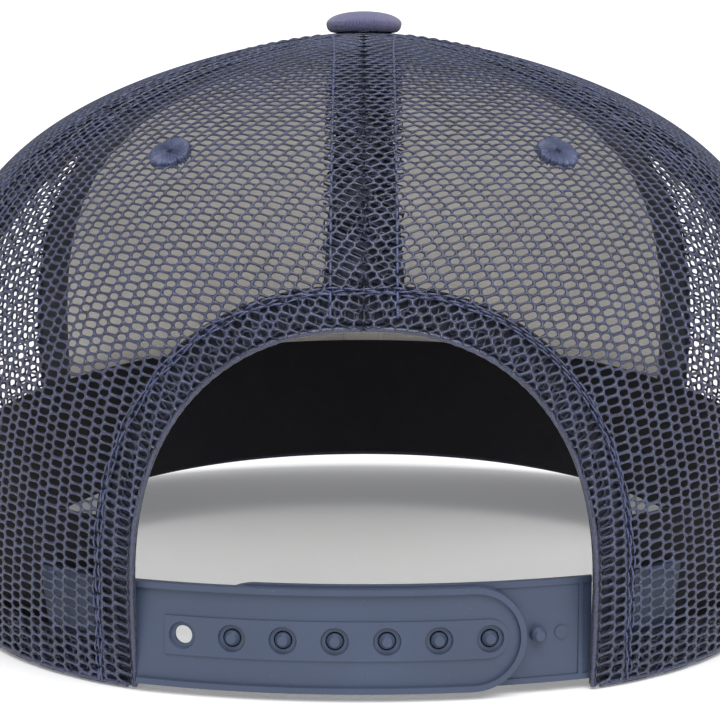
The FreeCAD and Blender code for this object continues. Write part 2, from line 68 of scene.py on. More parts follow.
ARCH_HALF = 43.0
ARCH_SPRING = 18.0
ARCH_RISE = 50.8
ARCH_POWER = 2.3
ARCH_TOP = ARCH_SPRING + ARCH_RISE
BINDING_WIDTH = 8.0

# ---- Knitted net ----
WIDE_COLUMN = 2.90
NARROW_COLUMN = 2.18
ROW_PITCH = 1.78
RIB_HALF = 0.30
BAR_HALF = 0.25
RIB_ZIGZAG = 0.14               # ribs lean towards each bar that joins them
RIB_RELIEF = 0.30
BAR_RELIEF = 0.26
NET_INSET = 0.42
TAPE_NET_INSET = 1.35
TAPE_THINNESS = 0.8
NET_TOP_FRACTION = 0.975        # no cell lies further up a panel
BACKING_INSET = 1.68
BACKING_THICKNESS = 0.35
BACKING_WIDTH = 15.4

# ---- How the net's columns and rows lie on a panel ----
REAR_GRAIN_AXIS = 29.0
SIDE_GRAIN_AXIS = 93.0
GRAIN_HEIGHT = 100.0            # the sweeps and slopes below are given for this far up
GRAIN_REACH = 50.0              # and for this far across
RIM_COLUMN_CROWDING = 0.78      # columns stand wider apart at the rim
TOP_COLUMN_CROWDING = 0.99
RIM_ROW_CROWDING = 0.88
TOP_ROW_CROWDING = 0.97
COLUMN_SWEEP = 20.0             # columns bend away from the rear seam
COLUMN_FAN = 5.0
ROW_SLOPE = 0.15                # rows climb away from the rear seam
ROW_DIP = 4.5                   # rows hang lowest at the panel's middle

rng = np.random.default_rng(7)


# ---- crown surface

ANGLE_STEP = 0.5
FRACTION_STEPS = 400
MERIDIAN_STEPS = 1200
NORMAL_REACH = 1.2
NORMAL_TURN = 0.8
TINY = 1e-12


def blend_round(angle, rear, side, front):
    c = np.cos(np.radians(angle))
    rear_weight = np.clip(c, 0, None) ** 2
    front_weight = np.clip(-c, 0, None) ** 2
    return rear * rear_weight + front * front_weight + side * (1 - rear_weight - front_weight)


def crown_tables():
    """Radius and height at even fractions of the cloth length, for every half degree."""
    angles = np.arange(0.0, 360.0 + ANGLE_STEP / 2, ANGLE_STEP)
    turn = np.linspace(0, math.pi / 2, MERIDIAN_STEPS + 1)
    radii, heights, lengths = [], [], []
    fractions = np.linspace(0, 1, FRACTION_STEPS + 1)
    for angle in angles:
        across = blend_round(angle, REAR_PROFILE[0], SIDE_PROFILE[0], FRONT_PROFILE[0])
        up = blend_round(angle, REAR_PROFILE[1], SIDE_PROFILE[1], FRONT_PROFILE[1])
        s, c = abs(math.sin(math.radians(angle))), math.cos(math.radians(angle))
        depth = REAR_DEPTH if c > 0 else FRONT_DEPTH
        reach = (s / HALF_WIDTH) ** PLAN_ROUNDNESS + (abs(c) / depth) ** PLAN_ROUNDNESS
        reach = reach ** (-1 / PLAN_ROUNDNESS)
        foot = RIM_RISE * ((1 - c) / 2) ** 2
        rise = np.sin(turn) ** (2 / up)
        shrink = np.clip(np.cos(turn), 0, None) ** (2 / across)
        r = reach * shrink * (1 + 4 * SHOULDER * rise * (1 - rise))
        z = foot + (CROWN_HEIGHT - foot) * rise
        run = np.concatenate([[0], np.cumsum(np.hypot(np.diff(r), np.diff(z)))])
        radii.append(np.interp(fractions * run[-1], run, r))
        heights.append(np.interp(fractions * run[-1], run, z))
        lengths.append(run[-1])
    return np.array(radii), np.array(heights), np.array(lengths)


RADII, HEIGHTS, LENGTHS = crown_tables()


def table_rows(angle):
    """The two table rows next to an angle, and how far it is from the first to the second."""
    place = np.mod(angle, 360.0) / ANGLE_STEP
    low = np.floor(place).astype(int)
    return low, np.minimum(low + 1, len(LENGTHS) - 1), place - low


def cloth_length(angle):
    low, high, part = table_rows(angle)
    return LENGTHS[low] * (1 - part) + LENGTHS[high] * part


def look_up(table, angle, length):
    low, high, part = table_rows(angle)
    f = np.clip(length / cloth_length(angle), 0, 1) * FRACTION_STEPS
    row = np.minimum(np.floor(f).astype(int), FRACTION_STEPS - 1)
    rest = f - row
    near = table[low, row] * (1 - rest) + table[low, row + 1] * rest
    far = table[high, row] * (1 - rest) + table[high, row + 1] * rest
    return near * (1 - part) + far * part


def unit(vectors):
    return vectors / (np.linalg.norm(vectors, axis=-1, keepdims=True) + TINY)


def skin(angle, length):
    """Points on the outside of the crown."""
    radius = look_up(RADII, angle, length)
    height = look_up(HEIGHTS, angle, length)
    a = np.radians(angle)
    return np.stack([radius * np.sin(a), radius * np.cos(a), height], axis=-1)


def skin_normal(angle, length):
    low = np.clip(length - NORMAL_REACH, 0, cloth_length(angle) - 2 * NORMAL_REACH)
    up = skin(angle, low + 2 * NORMAL_REACH) - skin(angle, low)
    along = skin(angle + NORMAL_TURN, length) - skin(angle - NORMAL_TURN, length)
    normal = unit(np.cross(along, up))
    a = np.radians(angle)
    outward = np.stack([np.sin(a), np.cos(a), np.full_like(a, 0.4)], axis=-1)
    sign = np.sign((normal * outward).sum(-1, keepdims=True))
    return normal * sign


def crown(angle, length, inset):
    """Points a distance inside the crown's outer face."""
    angle, length, inset = np.broadcast_arrays(np.asarray(angle, float), np.asarray(length, float),
                                               np.asarray(inset, float))
    return skin(angle, length) - skin_normal(angle, length) * inset[..., None]


def ease(value, start, end):
    part = np.clip((np.asarray(value, float) - start) / (end - start), 0, 1)
    return part * part * (3 - 2 * part)


def seam_line(fraction):
    """Angle of the seam between the rear and side panels."""
    fraction = np.asarray(fraction, float)
    angle = np.full(fraction.shape, REAR_SIDE_SEAM[0][1])
    for (low, low_angle), (high, high_angle) in zip(REAR_SIDE_SEAM, REAR_SIDE_SEAM[1:]):
        angle = angle + ease(fraction, low, high) * (high_angle - low_angle)
    return angle


# ---- mesh helpers

def link_object(name, data):
    obj = bpy.data.objects.new(name, data)
    bpy.context.scene.collection.objects.link(obj)
    return obj


def make_mesh(name, verts, faces, slot, material, replaces=(), uv=None, flip=False):
    """Crown piece from points in millimetres. uv is one pair of millimetres for each vertex.
    flip makes its mirror image."""
    if flip:
        verts, faces = np.asarray(verts) * (-1, 1, 1), [tuple(f)[::-1] for f in faces]
    mesh = bpy.data.meshes.new(name)
    mesh.from_pydata((np.asarray(verts, float) * MM).tolist(), [], [tuple(int(i) for i in f) for f in faces])
    mesh.validate()
    mesh.update()
    mesh.polygons.foreach_set("use_smooth", [True] * len(mesh.polygons))
    if uv is not None:
        layer = mesh.uv_layers.new(name="cloth")
        loops = np.zeros(len(mesh.loops), int)
        mesh.loops.foreach_get("vertex_index", loops)
        layer.data.foreach_set("uv", (np.asarray(uv, float)[loops] * MM).ravel())
    obj = link_object(name, mesh)
    mesh.materials.append(material)
    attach(obj, "crown")
    if replaces:
        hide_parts(*replaces)
    return obj


def grid_faces(rows, columns, wrap=False):
    """Quads of a grid of points stored row by row. wrap joins the last column to the first."""
    i = np.arange(rows - 1)[:, None]
    j = np.arange(columns if wrap else columns - 1)[None, :]
    k = (j + 1) % columns
    here, next_row = i * columns, (i + 1) * columns
    return np.stack([here + j, here + k, next_row + k, next_row + j], axis=-1).reshape(-1, 4)


def shell_mesh(outer, inner):
    """Closed shell from two grids of points, with its four edges."""
    rows, columns = outer.shape[:2]
    count = rows * columns
    verts = np.concatenate([outer.reshape(-1, 3), inner.reshape(-1, 3)])
    top = grid_faces(rows, columns)
    faces = [top, top[:, ::-1] + count]
    first = np.arange(columns - 1)
    last = first + (rows - 1) * columns
    left = np.arange(rows - 1) * columns
    right = left + columns - 1
    edges = ((first + 1, first), (last, last + 1), (left, left + columns), (right + columns, right))
    for start, end in edges:
        faces.append(np.stack([start, end, end + count, start + count], -1))
    return verts, np.concatenate(faces)


def cloth_shell(name, outer, inner, across, along, slot, material, replaces=(), flip=False):
    """Piece of cloth between two grids of points. across and along measure the cloth itself."""
    verts, faces = shell_mesh(outer, inner)
    uv = np.stack(np.broadcast_arrays(across, along), -1).reshape(-1, 2)
    return make_mesh(name, verts, faces, slot, material, replaces, np.concatenate([uv, uv]), flip)


def tube(points, radii, sides=6):
    """Tube along a line of points, with closed ends."""
    points = np.asarray(points, float)
    count = len(points)
    tangent = unit(np.gradient(points, axis=0))
    seed = (0.0, 0.0, 1.0) if abs(tangent[0, 2]) < 0.8 else (1.0, 0.0, 0.0)
    side = unit(np.cross(tangent, seed))
    other = np.cross(tangent, side)
    turn = (np.arange(sides) * 2 * math.pi / sides)[None, :, None]
    ring = np.cos(turn) * side[:, None, :] + np.sin(turn) * other[:, None, :]
    verts = points[:, None, :] + ring * np.broadcast_to(radii, count)[:, None, None]
    faces = [tuple(f) for f in grid_faces(count, sides, wrap=True)]
    faces.append(tuple(range(sides))[::-1])
    faces.append(tuple((count - 1) * sides + k for k in range(sides)))
    return verts.reshape(-1, 3), faces


def join(parts):
    """One list of points and faces from several."""
    verts, faces, base = [], [], 0
    for v, f in parts:
        verts.append(np.asarray(v))
        faces.extend(tuple(int(i) + base for i in face) for face in f)
        base += len(v)
    return np.concatenate(verts), faces


STITCH_ARCH = np.array([-0.9, 0.2, 1.0, 0.2, -0.9])
STITCH_SWELL = np.array([0.6, 1.0, 1.05, 1.0, 0.6])
STITCH_WOBBLE = 0.12


def stitch_row(path, normals, stitch=2.3, gap=0.55, radius=0.17, lift=0.16):
    """Separate thread stitches along a line on the cloth."""
    parts = []
    run = np.concatenate([[0], np.cumsum(np.linalg.norm(np.diff(path, axis=0), axis=1))])
    start = gap
    while start + stitch < run[-1]:
        wobble = rng.uniform(-STITCH_WOBBLE, STITCH_WOBBLE)
        at = np.linspace(start, start + stitch + wobble, len(STITCH_ARCH))
        points = np.stack([np.interp(at, run, path[:, k]) for k in range(3)], axis=-1)
        middle = normals[int(round((start + stitch / 2) / run[-1] * (len(normals) - 1)))]
        points = points + middle * (STITCH_ARCH * lift)[:, None]
        parts.append(tube(points, radius * STITCH_SWELL))
        start += stitch + gap
    return join(parts)


# ---- materials

def srgb(red, green, blue):
    """Linear colour of a colour given as 0 to 255."""
    def one(v):
        v /= 255.0
        return v / 12.92 if v <= 0.04045 else ((v + 0.055) / 1.055) ** 2.4
    return (one(red), one(green), one(blue), 1.0)


def shade(colour, factor):
    return (colour[0] * factor, colour[1] * factor, colour[2] * factor, 1.0)


class Tree:
    """Short calls for a material's nodes."""

    def __init__(self, name):
        self.material = bpy.data.materials.new(name)
        self.material.use_nodes = True
        self.nodes = self.material.node_tree.nodes
        self.links = self.material.node_tree.links
        self.shader = self.nodes["Principled BSDF"]

    def add(self, kind, **inputs):
        node = self.nodes.new(kind)
        for key, value in inputs.items():
            name = key.replace("_", " ")
            if name in node.inputs:
                node.inputs[name].default_value = value
            else:
                setattr(node, key, value)
        return node

    def link(self, source, socket):
        self.links.new(source, socket)

    def put(self, **values):
        for key, value in values.items():
            self.shader.inputs[key.replace("_", " ")].default_value = value

    def noise(self, scale, detail):
        node = self.add("ShaderNodeTexNoise", Scale=scale, Detail=detail)
        self.link(self.coordinate(), node.inputs["Vector"])
        return node.outputs["Fac"]

    def wave(self, coordinate, direction, **inputs):
        node = self.add("ShaderNodeTexWave", **inputs)
        node.bands_direction = direction
        self.link(coordinate, node.inputs["Vector"])
        return node.outputs["Fac"]

    def ramp(self, value, low, high, colours):
        node = self.nodes.new("ShaderNodeValToRGB")
        for stop, place, colour in zip(node.color_ramp.elements, (low, high), colours):
            stop.position = place
            stop.color = colour
        self.link(value, node.inputs["Fac"])
        return node.outputs["Color"]

    def bump(self, height, strength, distance, after=None):
        node = self.add("ShaderNodeBump", Strength=strength, Distance=distance)
        self.link(height, node.inputs["Height"])
        if after is not None:
            self.link(after, node.inputs["Normal"])
        return node.outputs["Normal"]

    def maths(self, operation, *values):
        node = self.nodes.new("ShaderNodeMath")
        node.operation = operation
        for socket, value in zip(node.inputs, values):
            if isinstance(value, (int, float)):
                socket.default_value = value
            else:
                self.link(value, socket)
        return node.outputs["Value"]

    def blend(self, *terms, base=0.0):
        """Sum of a base number and of values, each given with its weight."""
        total = base
        for value, weight in terms:
            total = self.maths("MULTIPLY_ADD", value, weight, total)
        return total

    def coordinate(self, kind="Object"):
        return self.nodes.new("ShaderNodeTexCoord").outputs[kind]

    def finish(self, colour=None, roughness=None, normal=None):
        for name, value in (("Base Color", colour), ("Roughness", roughness), ("Normal", normal)):
            if value is not None:
                self.link(value, self.shader.inputs[name])
        return self.material


def yarn_material(name, colour, scale=1.0, painted_light_contrast=1.0):
    """Satin multifilament yarn: bundles of strands with random bumps and gloss. Its colour carries painted
    highlights on the strands and painted shade in the dark gaps between them.
    """
    t = Tree(name)
    strands = t.noise(2700.0 * scale, 2.0)
    hairs = t.noise(7000.0 * scale, 1.0)
    patches = t.noise(160.0, 3.0)
    mix = t.blend((strands, 0.75), (patches, 0.25))
    # Painted highlights and painted shade: the strand noise runs the colour from 0.3 to 2.5 times the yarn
    # colour at full contrast, bright on strands and dark in the gaps.
    tint = t.ramp(mix, 0.36, 0.66, (shade(colour, 1 - 0.7 * painted_light_contrast), shade(colour, 1 + 1.5 * painted_light_contrast)))
    rough = t.blend((strands, 0.25), base=0.28)
    t.put(Sheen_Weight=0.12, Sheen_Roughness=0.4, Specular_IOR_Level=0.9)
    return t.finish(tint, rough, t.bump(strands, 0.7, 0.00016, t.bump(hairs, 0.3, 0.00006)))


def twill_material(name, colour, pitch=0.55, sheen=0.2):
    """Woven twill: diagonal ribs crossed by fine threads, on the cloth's own measure."""
    t = Tree(name)
    cloth = t.coordinate("UV")
    scale = 0.5 / (pitch * MM)
    rib = t.wave(cloth, "DIAGONAL", Scale=scale, Distortion=0.6, Detail=1.5, Detail_Scale=2.0)
    weft = t.wave(cloth, "Y", Scale=scale / 0.62, Distortion=0.4)
    fuzz = t.noise(2600.0, 3.0)
    patches = t.noise(60.0, 3.0)
    relief = t.blend((rib, 1.0), (weft, 0.45))
    mix = t.blend((relief, 0.35), (patches, 0.4), (fuzz, 0.25))
    tint = t.ramp(mix, 0.30, 0.85, (shade(colour, 0.72), shade(colour, 1.25)))
    rough = t.blend((fuzz, 0.2), base=0.72)
    normal = t.bump(relief, 0.55, 0.00018, t.bump(fuzz, 0.25, 0.0001))
    t.put(Sheen_Weight=sheen, Sheen_Roughness=0.6, Specular_IOR_Level=0.25)
    return t.finish(tint, rough, normal)


def buckram_material(name, colour):
    """Stiff open plain weave with a coated, matt face."""
    t = Tree(name)
    cloth = t.coordinate("UV")
    waves = [t.wave(cloth, direction, Scale=420.0, Distortion=0.5, Detail=1.0) for direction in "XY"]
    weave = t.maths("MULTIPLY", *waves)
    patches = t.noise(45.0, 4.0)
    mix = t.blend((weave, 0.45), (patches, 0.55))
    tint = t.ramp(mix, 0.15, 0.75, (shade(colour, 0.86), shade(colour, 1.06)))
    t.put(Specular_IOR_Level=0.2, Roughness=0.85)
    return t.finish(tint, None, t.bump(weave, 0.4, 0.00015))


def plastic_material(name, colour):
    """Moulded soft plastic: faint orange peel, small specks, slightly worn sheen."""
    t = Tree(name)
    peel = t.noise(900.0, 3.0)
    cloud = t.noise(55.0, 4.0)
    specks = t.noise(2300.0, 0.0)
    pale = t.ramp(specks, 0.80, 0.84, ((0, 0, 0, 1), (0.5, 0.5, 0.5, 1)))
    tint = t.ramp(cloud, 0.3, 0.7, (shade(colour, 0.92), shade(colour, 1.08)))
    mix = t.nodes.new("ShaderNodeMix")
    mix.data_type = "RGBA"
    t.link(pale, mix.inputs["Factor"])
    t.link(tint, mix.inputs["A"])
    mix.inputs["B"].default_value = shade(colour, 1.9)
    rough = t.blend((cloud, 0.22), base=0.33)
    t.put(Specular_IOR_Level=0.45)
    return t.finish(mix.outputs["Result"], rough, t.bump(peel, 0.12, 0.00012))


def metal_material(name, colour):
    t = Tree(name)
    grain = t.noise(1800.0, 3.0)
    t.put(Metallic=1.0)
    tint = t.ramp(grain, 0.3, 0.7, (shade(colour, 0.85), shade(colour, 1.1)))
    rough = t.blend((grain, 0.25), base=0.25)
    return t.finish(tint, rough, t.bump(grain, 0.15, 0.00005))


def foam_material(name, colour):
    t = Tree(name)
    cells = t.add("ShaderNodeTexVoronoi", Scale=1400.0)
    t.link(t.coordinate(), cells.inputs["Vector"])
    tint = t.ramp(cells.outputs["Distance"], 0.1, 0.9, (shade(colour, 0.8), shade(colour, 1.1)))
    t.put(Roughness=0.95, Specular_IOR_Level=0.1)
    return t.finish(tint, None, t.bump(cells.outputs["Distance"], 0.6, 0.0003))


NAVY_YARN = srgb(40, 46, 72)
net_yarn = yarn_material("net_yarn", NAVY_YARN)
# Shaded copy of the net yarn, 0.9 times as bright: painted shade for the net where it lies doubled on the
# tapes, rim hem and arch binding.
tape_yarn_painted_shade = yarn_material("tape_net_yarn_painted_shade", shade(NAVY_YARN, 0.9))
# These threads get the same painted strand highlights and painted shade, at lower contrast.
thread = yarn_material("sewing_thread", srgb(52, 60, 98), 1.4, 0.5)
visor_thread = yarn_material("visor_thread", srgb(50, 56, 84), 1.4, 0.4)
embroidery = yarn_material("embroidery_thread", srgb(60, 70, 104), 1.2, 0.5)
front_twill = twill_material("front_twill", srgb(52, 57, 80))
tape_twill = twill_material("seam_tape_twill", srgb(36, 39, 54), 0.4)
sweat_twill = twill_material("sweatband_twill", srgb(16, 15, 22), 0.45, 0.08)
button_twill = twill_material("button_twill", srgb(98, 98, 136), 0.4, 0.35)
buckram = buckram_material("front_buckram", srgb(244, 239, 233))
strap_plastic = plastic_material("strap_plastic", srgb(64, 75, 98))
board_plastic = plastic_material("board_plastic", srgb(226, 224, 216))
button_steel = metal_material("button_steel", srgb(190, 190, 192))
pad_foam = foam_material("pad_foam", srgb(214, 212, 204))


# ---- knitted net

HOLE_TURN = np.radians([0, 36, 62, 90, 118, 144, 180, 216, 242, 270, 298, 324])
HOLE_ROUNDNESS = {True: 2.9, False: 2.1}        # exponents of wide and narrow holes
HOLE_SHAPE_NOISE = 0.028
HOLE_PLACE_NOISE = 0.05
JOINT_NOISE = 0.035
SMALLEST_QUAD = 0.004


def net_cells(low_p, high_p, low_q, high_q, shift=0.0):
    """Outlines and holes of staggered net cells. Each outline and each hole has 12 points."""
    pair = WIDE_COLUMN + NARROW_COLUMN
    first = int(math.floor(low_p / pair)) - 1
    last = int(math.ceil(high_p / pair)) + 1
    rows = np.arange(int(math.floor(low_q / ROW_PITCH)) - 1, int(math.ceil(high_q / ROW_PITCH)) + 2)
    half = ROW_PITCH / 2
    outlines, holes = [], []
    c, s = np.cos(HOLE_TURN), np.sin(HOLE_TURN)
    for k in range(first, last + 1):
        for wide in (True, False):
            w = (WIDE_COLUMN if wide else NARROW_COLUMN) / 2
            centre = k * pair if wide else k * pair + pair / 2
            y = rows * ROW_PITCH + (0.0 if wide else half) + shift
            middle, corner = w + RIB_ZIGZAG, w - RIB_ZIGZAG
            edge_x = np.array([middle, corner, w * 0.5, 0, -w * 0.5, -corner,
                               -middle, -corner, -w * 0.5, 0, w * 0.5, corner])
            edge_y = np.array([0, half, half, half, half, half, 0, -half, -half, -half, -half, -half])
            power = 2 / HOLE_ROUNDNESS[wide]
            ring_x = (middle - RIB_HALF) * np.sign(c) * np.abs(c) ** power
            ring_y = (half - BAR_HALF) * np.sign(s) * np.abs(s) ** power
            hole = np.stack(np.broadcast_arrays(centre + ring_x, y[:, None] + ring_y), -1)
            hole = hole + rng.normal(0, HOLE_SHAPE_NOISE, hole.shape)
            holes.append(hole + rng.normal(0, HOLE_PLACE_NOISE, (len(rows), 1, 2)))
            outlines.append(np.stack(np.broadcast_arrays(centre + edge_x, y[:, None] + edge_y), -1))
    return np.concatenate(outlines), np.concatenate(holes)


OUTLINE_RELIEF = np.array([RIB_RELIEF, RIB_RELIEF, BAR_RELIEF, BAR_RELIEF, BAR_RELIEF, RIB_RELIEF] * 2)


def net_mesh(outlines, holes, place, inside, inset, thin=1.0):
    """Net from cells. place turns cloth points into angle and length and draws in those past the
    edge. inside keeps cells by their centres. thin flattens the yarn."""
    centres = outlines.mean(1)
    keep = inside(*place(centres[:, 0], centres[:, 1], clamp=False))
    outlines, holes = outlines[keep], holes[keep]
    flat = np.round(outlines.reshape(-1, 2), 3)
    shared, first, back = np.unique(flat, axis=0, return_index=True, return_inverse=True)
    back = back.reshape(len(outlines), 12)
    relief = OUTLINE_RELIEF[first % 12] * thin
    shared = shared + rng.normal(0, JOINT_NOISE, shared.shape)
    wave = 0.10 * np.sin(shared[:, 0] * 0.37 + 1.0) * np.sin(shared[:, 1] * 0.29)
    angle, length = place(shared[:, 0] + wave, shared[:, 1])
    front = crown(angle, length, inset - relief)
    rear = crown(angle, length, inset + relief)
    hole_angle, hole_length = place(holes[..., 0].ravel(), holes[..., 1].ravel())
    middle = crown(hole_angle, hole_length, inset)
    n = len(shared)
    ring = 2 * n + np.arange(len(holes) * 12).reshape(-1, 12)
    after = np.roll(np.arange(12), -1)
    front_quads = np.stack([back, back[:, after], ring[:, after], ring], -1).reshape(-1, 4)
    rear_quads = np.stack([ring, ring[:, after], back[:, after] + n, back + n], -1).reshape(-1, 4)
    verts = np.concatenate([front, rear, middle])
    quads = np.concatenate([front_quads, rear_quads])
    a, b, c, d = (verts[quads[:, k]] for k in range(4))
    area = np.linalg.norm(np.cross(c - a, d - b), axis=1)
    quads = quads[area > SMALLEST_QUAD]
    used = np.unique(quads)
    renumber = np.zeros(len(verts), int)
    renumber[used] = np.arange(len(used))
    return verts[used], renumber[quads]


def rear_grain(angle, length):
    """Column and row of the net, as millimetres of flat net, at a place on a rear panel."""
    across = np.radians(angle - REAR_GRAIN_AXIS) * look_up(RADII, angle, length)
    up = length / GRAIN_HEIGHT
    out = across / GRAIN_REACH
    near_rim = np.clip(1 - up, 0, 1) ** 2
    crowding = TOP_COLUMN_CROWDING + (RIM_COLUMN_CROWDING - TOP_COLUMN_CROWDING) * near_rim
    sweep = COLUMN_SWEEP * np.clip(up, 0, None) ** 1.9
    column = across * crowding + sweep - COLUMN_FAN * out ** 2 * np.clip(1 - 1.8 * up, -1, 1)
    row_crowding = RIM_ROW_CROWDING + (TOP_ROW_CROWDING - RIM_ROW_CROWDING) * np.clip(up, 0, 1)
    slope = ROW_SLOPE * (1 + 0.4 * np.clip(up, 0, 1) ** 2)
    return column, length * row_crowding - across * slope + ROW_DIP * (1 + np.clip(up, 0, 1)) * out ** 2


def side_grain(angle, length):
    """The same for a side panel, whose columns run straight up."""
    return np.radians(angle - SIDE_GRAIN_AXIS) * look_up(RADII, angle, length), length * TOP_ROW_CROWDING


def grain_place(grain, axis, limits):
    """Turns columns and rows into places on the crown, by Newton's method on the grain."""
    turn_step, climb_step = 0.2, 0.4

    def place(p, q, clamp=True):
        angle = np.full_like(p, axis)
        length = np.clip(q, 1.0, 150.0)
        for _ in range(24):
            highest = cloth_length(angle) - 3.0
            length = np.minimum(length, highest)
            column, row = grain(angle, length)
            turned_column, turned_row = grain(angle + turn_step, length)
            raised_column, raised_row = grain(angle, length + climb_step)
            a, c = (turned_column - column) / turn_step, (turned_row - row) / turn_step
            b, d = (raised_column - column) / climb_step, (raised_row - row) / climb_step
            size = a * d - b * c
            size = np.where(np.abs(size) < 0.01, 0.01, size)
            miss_p, miss_q = p - column, q - row
            angle = angle + np.clip((d * miss_p - b * miss_q) / size, -9, 9)
            length = length + np.clip((a * miss_q - c * miss_p) / size, -12, 12)
        if clamp:
            return limits(angle, length)
        column, row = grain(angle, length)
        lost = np.hypot(p - column, q - row) > 0.4
        return angle, np.where(lost, -100.0, length)
    return place


def arch_value(x, z, grow=0.0):
    """Below 1 inside the arch opening, 1 on its edge."""
    half = ARCH_HALF + grow
    rise = ARCH_RISE + grow
    over = np.clip((z - ARCH_SPRING) / rise, 0, None)
    return ((np.abs(x) / half) ** ARCH_POWER + over ** ARCH_POWER) ** (1 / ARCH_POWER)


def solve_xz(angle, length, x, z):
    """Angle and length where the outside of the crown has that x and z."""
    for _ in range(8):
        here = skin(angle, length)
        radius = look_up(RADII, angle, length)
        climb = (skin(angle, length + 0.5)[..., 2] - here[..., 2]) / 0.5
        length = np.clip(length + (z - here[..., 2]) / np.maximum(climb, 0.25), 0, 150)
        here = skin(angle, length)
        angle = angle + np.degrees((x - here[..., 0]) / (radius * np.maximum(np.cos(np.radians(angle)), 0.3)))
    return angle, length


def limit_between(start, end, foot=0.4, arch=False):
    """Draws points back between two seams, below the apex and outside the arch opening."""
    def limits(angle, length):
        top = cloth_length(angle) - APEX_GAP
        length = np.clip(length, foot, top)
        fraction = length / cloth_length(angle)
        angle = np.clip(angle, start(fraction), end(fraction))
        if arch:
            here = skin(angle, length)
            value = arch_value(here[..., 0], here[..., 2])
            inside = value < 1
            if inside.any():
                x, z = here[inside, 0], here[inside, 2]
                scale = np.maximum(value[inside], 0.2)
                new_x = x / scale
                new_z = np.where(z > ARCH_SPRING, ARCH_SPRING + (z - ARCH_SPRING) / scale, z)
                angle[inside], length[inside] = solve_xz(angle[inside], length[inside], new_x, new_z)
                angle = np.clip(angle, start(fraction), end(fraction))
        return angle, length
    return limits


def inside_between(start, end, arch=False):
    def inside(angle, length):
        fraction = length / cloth_length(angle)
        keep = (angle > start(fraction)) & (angle < end(fraction)) & (length > 0.3)
        keep &= fraction < NET_TOP_FRACTION
        if arch:
            here = skin(angle, length)
            keep &= arch_value(here[..., 0], here[..., 2]) > 1.0
        return keep
    return inside


def flat_angle(value):
    """Seam that stays at one angle."""
    return lambda fraction: np.full(np.shape(fraction), float(value))


def net_panel(name, node, start, end, grain, axis, arch, flip):
    outlines, holes = net_cells(-75, 85, -14, 185)
    place = grain_place(grain, axis, limit_between(start, end, arch=arch))
    verts, quads = net_mesh(outlines, holes, place, inside_between(start, end, arch), NET_INSET)
    make_mesh(name, verts, quads, "mesh", net_yarn, [node], flip=flip)


def mesh_panels():
    for side, flip in SIDES:
        net_panel("rear_net_" + side, "rear_mesh_" + side, flat_angle(0.0), seam_line, rear_grain,
                  REAR_GRAIN_AXIS, True, flip)
        net_panel("side_net_" + side, "side_mesh_" + side, seam_line, flat_angle(FRONT_SIDE_SEAM), side_grain,
                  SIDE_GRAIN_AXIS, False, flip)


# ---- hem turned in along the rim ----

HEM_START = 30.0
HEM_HEIGHT = 9.0
HEM_INSET = 1.25
RIM_FOLD_RADIUS = 0.6


def backing(name, angle, length, across, along, flip=False):
    """Dark woven tape behind a strip of net."""
    outer = crown(angle, length, BACKING_INSET)
    inner = crown(angle, length, BACKING_INSET + BACKING_THICKNESS)
    cloth_shell(name, outer, inner, across, along, "seam_tape", tape_twill, flip=flip)


def rim_hem():
    """Second layer of net along the rim, and the fold that joins it to the first."""
    def limits(angle, length):
        return np.clip(angle, HEM_START, FRONT_SIDE_SEAM), np.clip(length, 0.5, HEM_HEIGHT)

    def inside(angle, length):
        return (angle > HEM_START) & (angle < FRONT_SIDE_SEAM) & (length > 0.3) & (length < HEM_HEIGHT)

    for side, flip in SIDES:
        outlines, holes = net_cells(-105, 75, -3, HEM_HEIGHT + 3, ROW_PITCH / 2)
        place = grain_place(side_grain, SIDE_GRAIN_AXIS, limits)
        net = net_mesh(outlines, holes, place, inside, HEM_INSET, TAPE_THINNESS)
        angle = np.linspace(HEM_START - 1.0, FRONT_SIDE_SEAM, 320)
        fold = crown(angle, RIM_FOLD_RADIUS + 0.1, RIM_FOLD_RADIUS + 0.15)
        fold = tube(fold, RIM_FOLD_RADIUS + 0.04 * np.sin(np.arange(len(angle)) * 1.7), sides=8)
        make_mesh("rim_hem_" + side, *join([net, fold]), "mesh_tape", tape_yarn_painted_shade, flip=flip)
        angle = np.linspace(HEM_START, FRONT_SIDE_SEAM, 240)
        angle, length = np.meshgrid(angle, np.linspace(0.6, HEM_HEIGHT, 9))
        backing("rim_woven_tape_" + side, angle, length, np.radians(angle) * HALF_WIDTH, length, flip)


# ---- doubled net on the seams ----

TAPE_WIDTH = 15.0
TAPE_TOP = 177.0
WOVEN_TAPE_LENGTH = 180.0
FRONT_TAPE_WIDTH = 11.0
FRONT_TAPE_LAYER = (1.75, 2.4)


def tape_radius(middle, length):
    return np.maximum(look_up(RADII, middle, length), 8.0)


def tape_place(centre, half_width, foot, turn):
    """Grain of a net tape laid along a seam at an angle of turn degrees."""
    c, s = math.cos(math.radians(turn)), math.sin(math.radians(turn))

    def place(p, q, clamp=True):
        across, length = p * c - q * s, p * s + q * c
        if clamp:
            across = np.clip(across, -half_width, half_width)
            length = np.clip(length, foot, TAPE_TOP + 1.0)
        middle = centre(length / SEAM_LENGTH)
        return middle + np.degrees(across / tape_radius(middle, length)), length
    return place


def net_tape(name, node, centre, foot, turn, arch_grow=None, flip=False):
    outlines, holes = net_cells(-150, 150, -150, 200)
    half = TAPE_WIDTH / 2

    def inside(angle, length):
        middle = centre(length / SEAM_LENGTH)
        across = np.radians(angle - middle) * tape_radius(middle, length)
        keep = (np.abs(across) < half) & (length > foot) & (length < TAPE_TOP)
        if arch_grow is not None:
            here = skin(angle, length)
            keep &= arch_value(here[..., 0], here[..., 2], arch_grow) > 1.0
        return keep

    place = tape_place(centre, half, foot, turn)
    verts, quads = net_mesh(outlines, holes, place, inside, TAPE_NET_INSET, TAPE_THINNESS)
    make_mesh(name, verts, quads, "mesh_tape", tape_yarn_painted_shade, [node], flip=flip)


